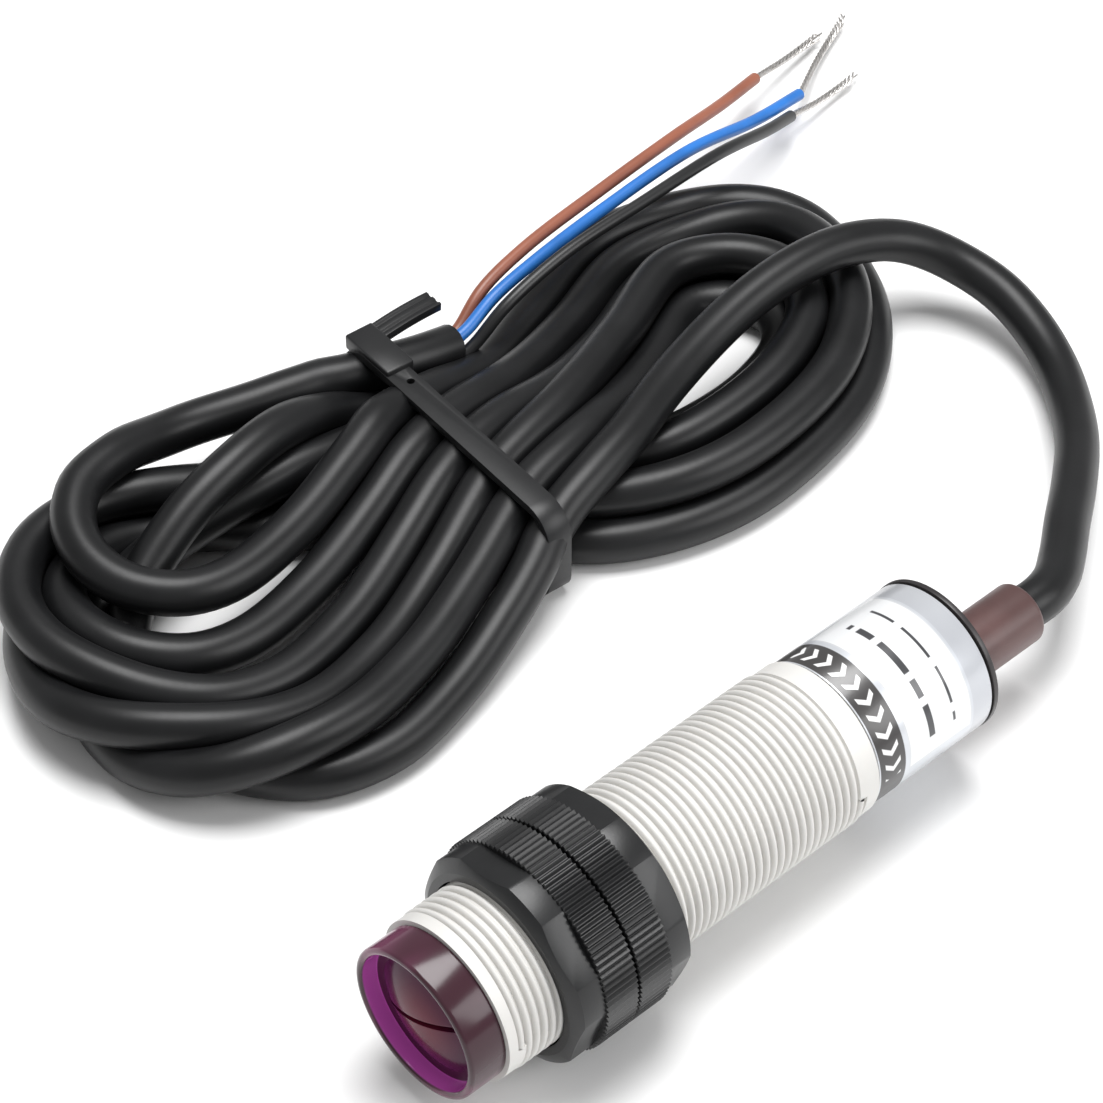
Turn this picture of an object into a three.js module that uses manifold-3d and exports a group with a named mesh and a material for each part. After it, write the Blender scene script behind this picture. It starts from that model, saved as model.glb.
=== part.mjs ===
// Cylindrical M18 photoelectric sensor with two clamp nuts and a tied cable.
// Millimetres, +Z up. The sensor lies along Y with its lens facing -Y, and rests on its nuts.
import * as THREE from 'three';
import { mergeVertices } from 'three/addons/utils/BufferGeometryUtils.js';
import Module from 'manifold-3d';

const wasm = await Module();
wasm.setup();

// Driving sizes
const bodyLength = 70.5; // lens rim to the back of the rear cap
const threadRadius = 9; // M18 crest
const seatGap = 0.3; // between pieces that rest on each other
const nutRunningGap = 0.2; // between thread crest and nut bore
const roundSteps = 48;
const smallSteps = 16;
const sealSteps = 8;
const cutMargin = 1; // how far a cutting shape runs past what it cuts

// Lens cap
const capRadius = 8.35;
const capLength = 3.9;
const rimOpeningRadius = 7.4;
const recessDepth = 1.9;
const windowThickness = 1.3;
const spigotLength = 2.8;
const spigotWall = 0.9;
const rimRound = 0.35;
const lensRadius = 6.3;
const lensRise = 1.3;
const lensSplit = 0.5;
const lensEdge = 0.2; // height of the straight edge round the two lenses
const lensRoot = 0.2; // how far the lenses run into the window
const opticsTurn = 27; // degrees that the pair of lenses is turned about the sensor's axis

// Barrel
const barrelWall = 1.4;
const plainBandLength = 2.2;
const plainBandDrop = 0.15;
const labelLength = 16.1;
const labelThickness = 0.15;
const labelRadius = 8.55;

// Clamp nuts: a hexagon with its corners cut off, and a round knurled flange
const nutAcrossFlats = 21.6;
const nutCornerCut = 22.7; // across the cut corners
const hexLength = 3.4;
const hexInFlange = 3; // how far the wrench part runs on into the flange
const flangeLength = 4;
const flangeRadius = 11.75;
const nutChamferDepth = 1; // along the axis, where the wrench corners are turned down
const nutChamferDrop = 2; // the same, along the radius
const frontNutPlace = 10.6; // front face, from the lens rim
const frontNutTurn = 43.6; // degrees of a wrench face about the axis
const rearNutTurn = 41;

// Rear cap and cable entry
const rearFlange = 0.6;
const rearFlangeRadius = 8.55;
const rearSpigotLength = 3.4;
const spigotRoot = 0.3; // how far the spigot runs into the flange
const bootRadius = 3.45;
const bootLength = 12.1;
const bootTipRound = 0.6;
const bootCollarRadius = 4.4;
const bootCollarLength = 1;
const bootOffset = 1.83; // of the cable from the axis, along the line of the lenses
const cableDiameter = 5;
const coreDiameter = 1.5;
const strandDiameter = 0.9;

// Inner parts
const holderLength = 7;
const holderWall = 1;
const baffleThickness = 1;
const diodeDiameter = 3;
const diodeLength = 4;
const diodeSpread = 3.6; // of each diode from the axis
const chamberDepth = 3; // of the two chambers in front of the diodes
const diodeSeat = 2; // from the holder's front to the diodes
const wireRoom = 6.3; // between the board's end and the potting
const boardThickness = 1.6;
const padInset = 8; // from the board's end to the solder pads
const pigtailSpread = 1.4; // how much wider the pads are spaced than the cores
const pottingLength = 4;
const sealSection = 0.55; // diameter of the ring's section
const sealPlay = 0.2; // the ring's section is this much smaller than its gap

// Cable where it isn't coiled, from the boot's tip to the hank
const leadPoints = [
  [0.85, 50.4, 10.1], [-0.1, 53.6, 9.6], [-2.6, 57.6, 8.8], [-6, 62.2, 7.9], [-10.2, 68.1, 6.6],
  [-15.6, 74.8, 5],
  [-21.3, 80, 3.9], [-26.6, 83.6, 3.7], [-32.2, 85.8, 4.4], [-38.2, 86.4, 5.8],
];
const leadEnd = { x: -44.4, y: 84.6, z: 7.6, heading: 210, straight: 2.4 }; // heading in degrees from +X

// Hank of cable, tied at its waist, seen from above
const hankHeight = 8.5;
const frontLoop = { x: -57.5, y: -10.5, radius: 23.5 };
const backLoop = { x: -57, y: 58.5, radius: 23 };
const waistLeft = -75.3;
const waistRight = -40.3;
const waistFront = 14;
const waistEase = 8; // length of the easing between waist and loops
const jacketEnd = { y: 33.5, width: 5.8, ease: 6 }; // where the jacket stops beside the hank
const leadSpur = { width: 5.6, length: 12 }; // the hank's own stretch of the lead, up to its face

// Tie round the waist
const tiePlace = 21.5;
const tieWidth = 3.6;
const tieThickness = 1.1;
const tieTailLength = 8.5;
const tailLap = 2.5; // how much of the tail lies on the tie

// Bare ends of the cores: where each leaves the jacket, its route, and its stripped end
const cores = [
  {
    name: 'brown', colour: 0x7a4636,
    route: [[-73.7, 33.8, 6.4], [-73.8, 34.9, 6.6], [-75.2, 39, 9.9], [-76.1, 46.9, 10], [-78.3, 61.5, 9.9],
      [-80.2, 75.2, 9.2], [-83.4, 86, 6.2], [-86.2, 94.7, 4]],
    strand: [[-86.35, 95, 3.9], [-88, 102, 2.2], [-89.5, 109.8, 1.2]],
  },
  {
    name: 'blue', colour: 0x1f6fd0,
    route: [[-72.2, 33.8, 7.6], [-72.3, 34.9, 7.9], [-72.9, 38.6, 10], [-73.8, 47.5, 10], [-75.5, 58.8, 9.9],
      [-76.8, 74, 9.6], [-79, 87.5, 5.6], [-81.2, 97.4, 3]],
    strand: [[-81.3, 97.7, 2.95], [-85.6, 105, 1.7], [-90.2, 114.6, 1]],
  },
  {
    name: 'black', colour: 0x1a1a1b,
    route: [[-71.1, 33.8, 5.7], [-71, 34.9, 6], [-70.4, 38.6, 10], [-70.4, 49.1, 10], [-70.6, 68, 9.9],
      [-72.6, 77.5, 9.7], [-76, 86.8, 6], [-78.4, 93.1, 3.6]],
    strand: [[-78.5, 93.4, 3.5], [-79.6, 99.5, 1.9], [-80.8, 107.3, 1]],
  },
];

// Sizes that follow from the ones above
const axisHeight = flangeRadius;
const barrelStart = capLength + seatGap;
const barrelEnd = bodyLength - rearFlange - seatGap;
const threadStart = barrelStart + plainBandLength;
const labelStart = barrelEnd - labelLength;
const labelSeatRadius = labelRadius - labelThickness - seatGap;
const boreRadius = labelSeatRadius - barrelWall / 2;
const spigotRadius = boreRadius - seatGap - sealSection;
const spigotEnd = capLength + spigotLength;
const nutBore = threadRadius + nutRunningGap;
const nutLength = hexLength + flangeLength;
const rearNutPlace = frontNutPlace + nutLength + seatGap;
const holderStart = spigotEnd + seatGap;
const holderRadius = boreRadius - seatGap;
const diodeStart = holderStart + diodeSeat;
const boardStart = holderStart + holderLength + seatGap;
const rearSpigotStart = barrelEnd - rearSpigotLength;
const collarStart = rearSpigotStart - seatGap - bootCollarLength;
const pottingStart = collarStart - seatGap - pottingLength;
const boardEnd = pottingStart - wireRoom;
const boardWidth = 2 * (holderRadius - boardThickness / 2);
const boardLength = boardEnd - boardStart;
const bootTip = bodyLength + bootLength;
const cableRadius = cableDiameter / 2;
const turnRadians = THREE.MathUtils.degToRad(opticsTurn);
const cableX = bootOffset * Math.sin(turnRadians);
const cableZ = -bootOffset * Math.cos(turnRadians);

const white = { color: 0xecebe6, roughness: 0.5, metalness: 0 };
const black = { color: 0x1b1c1e, roughness: 0.45, metalness: 0 };
const jacket = { color: 0x1d1e20, roughness: 0.5, metalness: 0 };
const smoked = { color: 0x3c1630, roughness: 0.2, metalness: 0 };
const rearBrown = { color: 0x3a2626, roughness: 0.4, metalness: 0 };
const silver = { color: 0xd4d6da, roughness: 0.35, metalness: 0.4 };
const board = { color: 0x1f5f3a, roughness: 0.5, metalness: 0 };
const chip = { color: 0x17181a, roughness: 0.6, metalness: 0 };
const ceramic = { color: 0xb79b74, roughness: 0.5, metalness: 0 };
const tinned = { color: 0xb9bbbe, roughness: 0.35, metalness: 0.9 };
const epoxy = { color: 0x4a443a, roughness: 0.3, metalness: 0 };

const model = new THREE.Group();
const sensor = new THREE.Group(); // its origin is on the axis at the lens rim
sensor.position.set(0, -bodyLength / 2, axisHeight);
model.add(sensor);
const optics = new THREE.Group(); // turned with the pair of lenses
optics.rotation.y = -turnRadians;
sensor.add(optics);

function add(group, name, geometry, look) {
  const mesh = new THREE.Mesh(geometry, new THREE.MeshStandardMaterial(look));
  mesh.name = name;
  group.add(mesh);
  return mesh;
}

// A solid of revolution about Y from [radius, place] pairs that start and end on the axis
function lathe(profile, steps = roundSteps) {
  return new THREE.LatheGeometry(profile.map(([radius, place]) => new THREE.Vector2(radius, place)), steps);
}

// The same for a ring, whose profile closes on itself
function turned(profile, steps = roundSteps) {
  return lathe([...profile, profile[0]], steps);
}

// A plain tube, or a rod when its inner radius is left out
function sleeve(inner, outer, from, to, steps = roundSteps) {
  const first = [[inner, from], [outer, from], [outer, to], [inner, to]];
  return inner > 0 ? turned(first, steps) : lathe(first, steps);
}

function asSolid(geometry) {
  const plain = geometry.clone();
  plain.deleteAttribute('normal');
  plain.deleteAttribute('uv');
  const merged = mergeVertices(plain, 1e-4);
  return new wasm.Manifold(new wasm.Mesh({
    numProp: 3,
    vertProperties: new Float32Array(merged.attributes.position.array),
    triVerts: new Uint32Array(merged.index.array),
  }));
}

function asGeometry(solid) {
  const mesh = solid.getMesh();
  const geometry = new THREE.BufferGeometry();
  const places = new Float32Array(mesh.vertProperties);
  geometry.setAttribute('position', new THREE.BufferAttribute(places, 3));
  geometry.setIndex(new THREE.BufferAttribute(new Uint32Array(mesh.triVerts), 1));
  geometry.computeVertexNormals();
  return geometry;
}

// A tube along a smooth curve through the points
function cord(points, diameter, steps, sides) {
  const section = new THREE.Shape();
  for (let side = 0; side < sides; side += 1) {
    const angle = (2 * Math.PI * side) / sides;
    const x = (diameter / 2) * Math.cos(angle);
    const y = (diameter / 2) * Math.sin(angle);
    if (side === 0) section.moveTo(x, y);
    else section.lineTo(x, y);
  }
  section.closePath();
  const path = new THREE.CatmullRomCurve3(points.map((p) => new THREE.Vector3(...p)));
  return new THREE.ExtrudeGeometry(section, { steps, bevelEnabled: false, extrudePath: path });
}

function block(x, y, z) {
  return new THREE.BoxGeometry(x, y, z);
}

// --- Lens cap: rim, recessed window, two half-round lenses and a spigot into the barrel ---
const spigotInner = spigotRadius - spigotWall;
const windowBack = recessDepth + windowThickness;
const capBody = lathe([
  [0, recessDepth], [rimOpeningRadius, recessDepth], [rimOpeningRadius, 0],
  [capRadius - rimRound, 0], [capRadius, rimRound], [capRadius, capLength],
  [spigotRadius, capLength], [spigotRadius, spigotEnd], [spigotInner, spigotEnd],
  [spigotInner, windowBack], [0, windowBack],
]);
const ballRadius = (lensRadius ** 2 + lensRise ** 2) / (2 * lensRise);
const ball = new THREE.SphereGeometry(ballRadius, 40, 40);
ball.translate(0, recessDepth + ballRadius - lensRise, 0);
const lensReach = sleeve(0, lensRadius, recessDepth - lensRise - lensEdge, recessDepth + lensRoot);
const split = block(2 * capRadius, 2 * recessDepth, lensSplit);
split.translate(0, recessDepth, 0);
const lenses = asSolid(ball).intersect(asSolid(lensReach)).subtract(asSolid(split));
add(optics, 'lens_cap', asGeometry(asSolid(capBody).add(lenses)), smoked);

const sealPlace = capLength + seatGap + spigotLength / 2;
const sealMiddle = (spigotRadius + boreRadius) / 2;
const sealRadius = (sealSection - sealPlay) / 2;
const sealProfile = Array.from({ length: sealSteps }, (_, step) => {
  const angle = (2 * Math.PI * step) / sealSteps;
  return [sealMiddle + sealRadius * Math.cos(angle), sealPlace + sealRadius * Math.sin(angle)];
});
add(sensor, 'front_seal', turned(sealProfile), black);

// --- Barrel ---
add(sensor, 'barrel', turned([
  [boreRadius, barrelStart], [threadRadius - plainBandDrop, barrelStart],
  [threadRadius - plainBandDrop, threadStart], [threadRadius, threadStart],
  [threadRadius, labelStart - seatGap], [labelSeatRadius, labelStart - seatGap],
  [labelSeatRadius, barrelEnd], [boreRadius, barrelEnd],
]), white);
add(sensor, 'label', sleeve(labelRadius - labelThickness, labelRadius, labelStart, barrelEnd), silver);

// --- Clamp nuts ---
function wrenchOutline(turn) {
  const outline = new THREE.Shape();
  const flat = nutAcrossFlats / 2;
  const half = (nutCornerCut / 2 - flat * Math.cos(Math.PI / 6)) / Math.sin(Math.PI / 6);
  const reach = Math.hypot(flat, half);
  const spread = Math.atan2(half, flat);
  for (let side = 0; side < 6; side += 1) {
    const middle = THREE.MathUtils.degToRad(turn) + (side * Math.PI) / 3;
    [middle - spread, middle + spread].forEach((angle, end) => {
      const x = reach * Math.cos(angle);
      const y = reach * Math.sin(angle);
      if (side === 0 && end === 0) outline.moveTo(x, y);
      else outline.lineTo(x, y);
    });
  }
  outline.closePath();
  return outline;
}

// The nut stands with its wrench face at place 0 and its flange towards +Y
function clampNut(turn) {
  const depth = hexLength + hexInFlange;
  const hex = new THREE.ExtrudeGeometry(wrenchOutline(turn), { depth, bevelEnabled: false });
  hex.rotateX(Math.PI / 2);
  hex.translate(0, depth, 0);
  const dome = sleeve(0, flangeRadius, 0, nutLength);
  const turnedRadius = flangeRadius + nutChamferDrop / 4;
  const blank = lathe([
    [0, 0], [turnedRadius - nutChamferDrop, 0], [turnedRadius, nutChamferDepth],
    [turnedRadius, nutLength], [0, nutLength],
  ]);
  const flange = sleeve(0, flangeRadius, hexLength, nutLength);
  const bore = sleeve(0, nutBore, -cutMargin, nutLength + cutMargin);
  const wrench = asSolid(hex).intersect(asSolid(blank)).intersect(asSolid(dome));
  return asGeometry(wrench.add(asSolid(flange)).subtract(asSolid(bore)));
}

const frontNut = add(sensor, 'front_nut', clampNut(frontNutTurn), black);
frontNut.position.y = frontNutPlace;
const rearNut = add(sensor, 'rear_nut', clampNut(180 - rearNutTurn), black);
rearNut.rotation.z = Math.PI;
rearNut.position.y = rearNutPlace + nutLength;

// --- Optics and electronics ---
const holderShell = sleeve(0, holderRadius, holderStart, holderStart + holderLength);
const chamberEnd = holderStart + chamberDepth;
const chamber = sleeve(0, holderRadius - holderWall, holderStart - cutMargin, chamberEnd);
const wall = block(2 * holderRadius, chamberDepth + 2 * cutMargin, baffleThickness + 2 * seatGap);
wall.translate(0, holderStart + chamberDepth / 2, 0);
let holder = asSolid(holderShell).subtract(asSolid(chamber).subtract(asSolid(wall)));
const diodeHole = (side) => {
  const radius = diodeDiameter / 2 + seatGap;
  const hole = sleeve(0, radius, holderStart - cutMargin, holderStart + holderLength + cutMargin, smallSteps);
  hole.translate(0, 0, side * diodeSpread);
  return asSolid(hole);
};
holder = holder.subtract(diodeHole(1)).subtract(diodeHole(-1));
add(optics, 'optics_holder', asGeometry(holder), black);

function diode(name, side, look) {
  const mesh = add(optics, name, sleeve(0, diodeDiameter / 2, 0, diodeLength, smallSteps), look);
  mesh.position.set(0, diodeStart, side * diodeSpread);
}
diode('emitter_led', 1, { color: 0xb7414f, roughness: 0.2, metalness: 0 });
diode('receiver_diode', -1, { color: 0x24222a, roughness: 0.2, metalness: 0 });

const boardMesh = add(optics, 'circuit_board', block(boardWidth, boardLength, boardThickness), board);
boardMesh.position.set(0, (boardStart + boardEnd) / 2, 0);

// Parts soldered to the board: size, place along it as a share of its length, place across it, and its side
const boardParts = [
  { name: 'signal_chip', size: [6, 9, 1.6], along: 0.25, across: 0, side: 1, look: chip },
  { name: 'output_transistor', size: [4.2, 5, 1.5], along: 0.55, across: 1.5, side: 1, look: chip },
  { name: 'filter_capacitor', size: [3.4, 5.5, 2.6], along: 0.28, across: -1, side: -1, look: ceramic },
  { name: 'indicator_led', size: [2, 2.4, 1.2], along: 0.93, across: -3.6, side: 1, look: tinned },
  { name: 'resistor_1', size: [1.6, 3, 0.7], along: 0.5, across: -3.6, side: 1, look: chip },
  { name: 'resistor_2', size: [1.6, 3, 0.7], along: 0.65, across: -3.6, side: 1, look: chip },
  { name: 'resistor_3', size: [1.6, 3, 0.7], along: 0.5, across: 2.4, side: -1, look: chip },
];
boardParts.forEach(({ name, size, along, across, side, look }) => {
  const mesh = add(optics, name, block(...size), look);
  const lift = boardThickness / 2 + seatGap + size[2] / 2;
  mesh.position.set(across, boardStart + along * boardLength, side * lift);
});

// --- Rear cap, potting, boot and the cable's inner end ---
function offsetRod(radius, from, to, steps = 32) {
  const rod = sleeve(0, radius, from, to, steps);
  rod.translate(cableX, 0, cableZ);
  return asSolid(rod);
}

const capPlate = asSolid(sleeve(0, rearFlangeRadius, bodyLength - rearFlange, bodyLength));
const capSpigotEnd = bodyLength - rearFlange + spigotRoot;
const capSpigot = asSolid(sleeve(0, boreRadius - seatGap, rearSpigotStart, capSpigotEnd));
const bootHole = offsetRod(bootRadius + seatGap, rearSpigotStart - cutMargin, bodyLength + cutMargin);
add(sensor, 'rear_cap', asGeometry(capPlate.add(capSpigot).subtract(bootHole)), rearBrown);

const pottingDisc = asSolid(sleeve(0, boreRadius - seatGap, pottingStart, pottingStart + pottingLength));
const cableHole = offsetRod(cableRadius + seatGap, pottingStart - cutMargin, collarStart);
add(sensor, 'potting_plug', asGeometry(pottingDisc.subtract(cableHole)), epoxy);

const bootProfile = [
  [cableRadius + seatGap, collarStart], [bootCollarRadius, collarStart],
  [bootCollarRadius, collarStart + bootCollarLength], [bootRadius, collarStart + bootCollarLength],
  [bootRadius, bootTip - bootTipRound], [bootRadius - bootTipRound / 3, bootTip - bootTipRound / 4],
  [cableRadius + seatGap, bootTip],
];
const boot = add(sensor, 'cable_boot', turned(bootProfile, 32), rearBrown);
boot.position.set(cableX, 0, cableZ);

const innerRod = sleeve(0, cableRadius, pottingStart, bootTip, smallSteps);
const innerCable = add(sensor, 'inner_cable', innerRod, jacket);
innerCable.position.set(cableX, 0, cableZ);

// Each core runs from the cable's inner end to its pad on the board's lower side
cores.forEach(({ name, colour }, index) => {
  const across = (index - 1) * (coreDiameter + seatGap);
  const padAcross = pigtailSpread * across;
  const lift = -(boardThickness / 2 + seatGap + coreDiameter / 2);
  const route = [
    [across, pottingStart - seatGap, lift], [across, boardEnd, lift],
    [padAcross, boardEnd - padInset / 2, lift], [padAcross, boardEnd - padInset, lift],
  ];
  add(optics, `${name}_pigtail`, cord(route, coreDiameter, 8, 8), { color: colour, roughness: 0.5 });
});

// --- Cable: free stretch, hank, tie, bare cores and their strands ---
const bootTipPlace = bootTip - bodyLength / 2;
const heading = THREE.MathUtils.degToRad(leadEnd.heading);
const leadLast = [0, leadEnd.straight].map((back) => [
  leadEnd.x - back * Math.cos(heading), leadEnd.y - back * Math.sin(heading), leadEnd.z,
]);
const leadRoute = [
  [cableX, bootTipPlace + seatGap, axisHeight + cableZ], ...leadPoints, leadLast[1], leadLast[0],
];
add(model, 'cable_lead', cord(leadRoute, cableDiameter, 24, 12), jacket);

function hankOutline() {
  const outline = new THREE.Shape();
  const { x: fx, y: fy, radius: fr } = frontLoop;
  const { x: bx, y: by, radius: br } = backLoop;
  const stepX = waistLeft + jacketEnd.width;
  outline.moveTo(waistLeft, waistFront);
  outline.quadraticCurveTo(fx - fr, waistFront - waistEase, fx - fr, fy);
  outline.absarc(fx, fy, fr, Math.PI, 2 * Math.PI, false);
  outline.quadraticCurveTo(fx + fr, waistFront - waistEase, waistRight, waistFront);
  outline.lineTo(waistRight, jacketEnd.y);
  outline.quadraticCurveTo(bx + br, jacketEnd.y + waistEase, bx + br, by);
  outline.absarc(bx, by, br, 0, Math.PI, false);
  const stepEnd = jacketEnd.y + jacketEnd.ease;
  outline.quadraticCurveTo(bx - br, stepEnd + waistEase, stepX, stepEnd);
  outline.lineTo(stepX, jacketEnd.y);
  outline.lineTo(waistLeft, jacketEnd.y);
  outline.closePath();
  return outline;
}

const hankBlank = new THREE.ExtrudeGeometry(hankOutline(), {
  depth: hankHeight, bevelEnabled: false, curveSegments: 14,
});
const groove = block(2 * (waistRight - waistLeft), tieWidth + 2 * seatGap, 2 * (tieThickness + 2 * seatGap));
groove.translate((waistLeft + waistRight) / 2, tiePlace, 0);
const spur = block(leadSpur.length, leadSpur.width, hankHeight);
spur.translate(leadSpur.length / 2 + seatGap, 0, hankHeight / 2);
spur.rotateZ(heading);
spur.translate(leadEnd.x, leadEnd.y, 0);
add(model, 'cable_coil', asGeometry(asSolid(hankBlank).add(asSolid(spur)).subtract(asSolid(groove))), jacket);

function roundedRect(left, right, low, high, round) {
  const outline = new THREE.Shape();
  outline.moveTo(left + round, low);
  outline.lineTo(right - round, low);
  outline.absarc(right - round, low + round, round, -Math.PI / 2, 0, false);
  outline.lineTo(right, high - round);
  outline.absarc(right - round, high - round, round, 0, Math.PI / 2, false);
  outline.lineTo(left + round, high);
  outline.absarc(left + round, high - round, round, Math.PI / 2, Math.PI, false);
  outline.lineTo(left, low + round);
  outline.absarc(left + round, low + round, round, Math.PI, 1.5 * Math.PI, false);
  return outline;
}

// The tie's loop is drawn in X and Z, and its inner corners are square round the hank
const tieInside = {
  left: waistLeft - seatGap, right: waistRight + seatGap,
  low: tieThickness + seatGap, high: hankHeight + seatGap,
};
const tieLoop = roundedRect(
  tieInside.left - tieThickness, tieInside.right + tieThickness,
  tieInside.low - tieThickness, tieInside.high + tieThickness, tieThickness,
);
const tieHole = new THREE.Path();
tieHole.moveTo(tieInside.left, tieInside.low);
tieHole.lineTo(tieInside.left, tieInside.high);
tieHole.lineTo(tieInside.right, tieInside.high);
tieHole.lineTo(tieInside.right, tieInside.low);
tieLoop.holes.push(tieHole);
const tieRing = new THREE.ExtrudeGeometry(tieLoop, {
  depth: tieWidth, bevelEnabled: false, curveSegments: 6,
});
tieRing.rotateX(Math.PI / 2);
tieRing.translate(0, tiePlace + tieWidth / 2, 0);
const tail = block(tieWidth, tieTailLength, tieThickness);
tail.translate(
  tieInside.left - tieThickness + tieWidth / 2,
  tiePlace + tieWidth / 2 + tieTailLength / 2 - tailLap,
  tieInside.high + tieThickness / 2,
);
add(model, 'cable_tie', asGeometry(asSolid(tieRing).add(asSolid(tail))), black);

cores.forEach(({ name, colour, route, strand }) => {
  add(model, `${name}_core`, cord(route, coreDiameter, 24, 8), { color: colour, roughness: 0.5 });
  add(model, `${name}_strands`, cord(strand, strandDiameter, 8, 8), tinned);
});

export default model;
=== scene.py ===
# Cylindrical photoelectric sensor with clamp nuts and a tied, looped cable
import bpy
import math
import numpy as np
from mathutils import Matrix, Vector


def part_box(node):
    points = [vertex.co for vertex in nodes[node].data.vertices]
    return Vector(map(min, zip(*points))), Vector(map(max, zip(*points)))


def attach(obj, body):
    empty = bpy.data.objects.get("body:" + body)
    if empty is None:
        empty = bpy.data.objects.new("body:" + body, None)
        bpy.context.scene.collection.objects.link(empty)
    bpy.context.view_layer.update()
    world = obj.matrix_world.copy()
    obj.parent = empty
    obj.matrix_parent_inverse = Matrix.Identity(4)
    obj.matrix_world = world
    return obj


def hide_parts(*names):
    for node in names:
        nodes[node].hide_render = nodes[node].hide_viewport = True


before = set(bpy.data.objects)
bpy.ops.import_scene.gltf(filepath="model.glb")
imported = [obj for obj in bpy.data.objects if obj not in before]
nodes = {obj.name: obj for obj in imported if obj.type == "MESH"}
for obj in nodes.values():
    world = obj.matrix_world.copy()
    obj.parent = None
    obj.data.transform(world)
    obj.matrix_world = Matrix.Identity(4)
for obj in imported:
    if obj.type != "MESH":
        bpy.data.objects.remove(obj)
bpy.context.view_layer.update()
mm = 0.001

capLow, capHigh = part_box("lens_cap")
barrelLow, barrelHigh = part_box("barrel")
labelLow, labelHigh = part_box("label")
axisHeight = (barrelLow[2] + barrelHigh[2]) / 2
rimPlace = capLow[1]

# Camera

camera = {
    "place": (171.6, -174.6, 296.6),
    "look": (-0.52006, 0.47532, -0.70965),
    "lens": 125.45,
}


def makeCamera():
    data = bpy.data.cameras.new("camera")
    data.lens = camera["lens"]
    data.sensor_width = 36
    view = bpy.data.objects.new("camera", data)
    bpy.context.scene.collection.objects.link(view)
    view.location = Vector(camera["place"]) * mm
    view.rotation_euler = Vector(camera["look"]).to_track_quat("-Z", "Y").to_euler()
    bpy.context.scene.camera = view


makeCamera()

# Small helpers


def clearSelection():
    if bpy.context.mode != "OBJECT":
        bpy.ops.object.mode_set(mode="OBJECT")
    bpy.ops.object.select_all(action="DESELECT")


def useOnly(piece):
    clearSelection()
    piece.select_set(True)
    bpy.context.view_layer.objects.active = piece


def added(name):
    piece = bpy.context.active_object
    piece.name = name
    piece.data.name = name
    return piece


def pick(piece, wanted, kind="FACE"):
    # goes into edit mode with the wanted faces, edges or vertices selected
    useOnly(piece)
    bpy.ops.object.mode_set(mode="EDIT")
    bpy.ops.mesh.select_mode(type=kind)
    bpy.ops.mesh.select_all(action="DESELECT")
    bpy.ops.object.mode_set(mode="OBJECT")
    mesh = piece.data
    if kind == "FACE":
        for face in mesh.polygons:
            face.select = wanted(face.center, face.normal)
    elif kind == "EDGE":
        for edge in mesh.edges:
            edge.select = wanted(*[mesh.vertices[i].co for i in edge.vertices])
    else:
        for vertex in mesh.vertices:
            vertex.select = wanted(vertex.co)
    bpy.ops.object.mode_set(mode="EDIT")


def backToObject():
    bpy.ops.object.mode_set(mode="OBJECT")


def addModifier(piece, kind, **settings):
    useOnly(piece)
    modifier = piece.modifiers.new(kind.lower(), kind)
    for key, value in settings.items():
        setattr(modifier, key, value)
    bpy.ops.object.modifier_apply(modifier=modifier.name)


def bevelled(piece, width, segments, angle):
    addModifier(piece, "BEVEL", width=width, segments=segments, limit_method="ANGLE",
                angle_limit=math.radians(angle))


def tidyMesh(piece, distance=0.002 * mm):
    useOnly(piece)
    bpy.ops.object.mode_set(mode="EDIT")
    bpy.ops.mesh.select_all(action="SELECT")
    bpy.ops.mesh.remove_doubles(threshold=distance)
    bpy.ops.mesh.normals_make_consistent(inside=False)
    backToObject()


def smoothShade(piece, angle=35):
    useOnly(piece)
    bpy.ops.object.shade_smooth_by_angle(angle=math.radians(angle))


def applyPlace(piece):
    useOnly(piece)
    bpy.ops.object.transform_apply(location=True, rotation=True, scale=True)


def layAlongSensor(piece):
    # a round piece is modelled up Z from the lens rim, then laid along the sensor's axis
    piece.rotation_euler = (-math.pi / 2, 0, 0)
    piece.location = (0, rimPlace, axisHeight)
    applyPlace(piece)


def joined(main, *others):
    useOnly(main)
    for other in others:
        other.select_set(True)
    bpy.ops.object.join()
    return main


def boolean(piece, cutter, operation):
    addModifier(piece, "BOOLEAN", operation=operation, solver="EXACT", object=cutter)
    bpy.data.objects.remove(cutter, do_unlink=True)


def cylinder(name, radius, start, end, sides=96, fill="NGON"):
    clearSelection()
    bpy.ops.mesh.primitive_cylinder_add(
        vertices=sides, radius=radius, depth=end - start, end_fill_type=fill,
        location=(0, 0, (start + end) / 2))
    piece = added(name)
    applyPlace(piece)
    return piece


# Shader maths


class Wire:
    def __init__(self, shade, socket):
        self.shade = shade
        self.socket = socket

    def maths(self, operation, *others):
        return self.shade.node("ShaderNodeMath", {"operation": operation}, [self, *others])

    def __add__(self, other):
        return self.maths("ADD", other)

    __radd__ = __add__

    def __sub__(self, other):
        return self.maths("SUBTRACT", other)

    def __rsub__(self, other):
        return self.shade.node("ShaderNodeMath", {"operation": "SUBTRACT"}, [other, self])

    def __mul__(self, other):
        return self.maths("MULTIPLY", other)

    __rmul__ = __mul__

    def __truediv__(self, other):
        return self.maths("DIVIDE", other)

    def between(self, low, high, soft):
        # 1 inside the span, falling to 0 over a soft edge
        rise = self.shade.ramp(self, low - soft, low + soft)
        return rise * (1 - self.shade.ramp(self, high - soft, high + soft))


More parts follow.
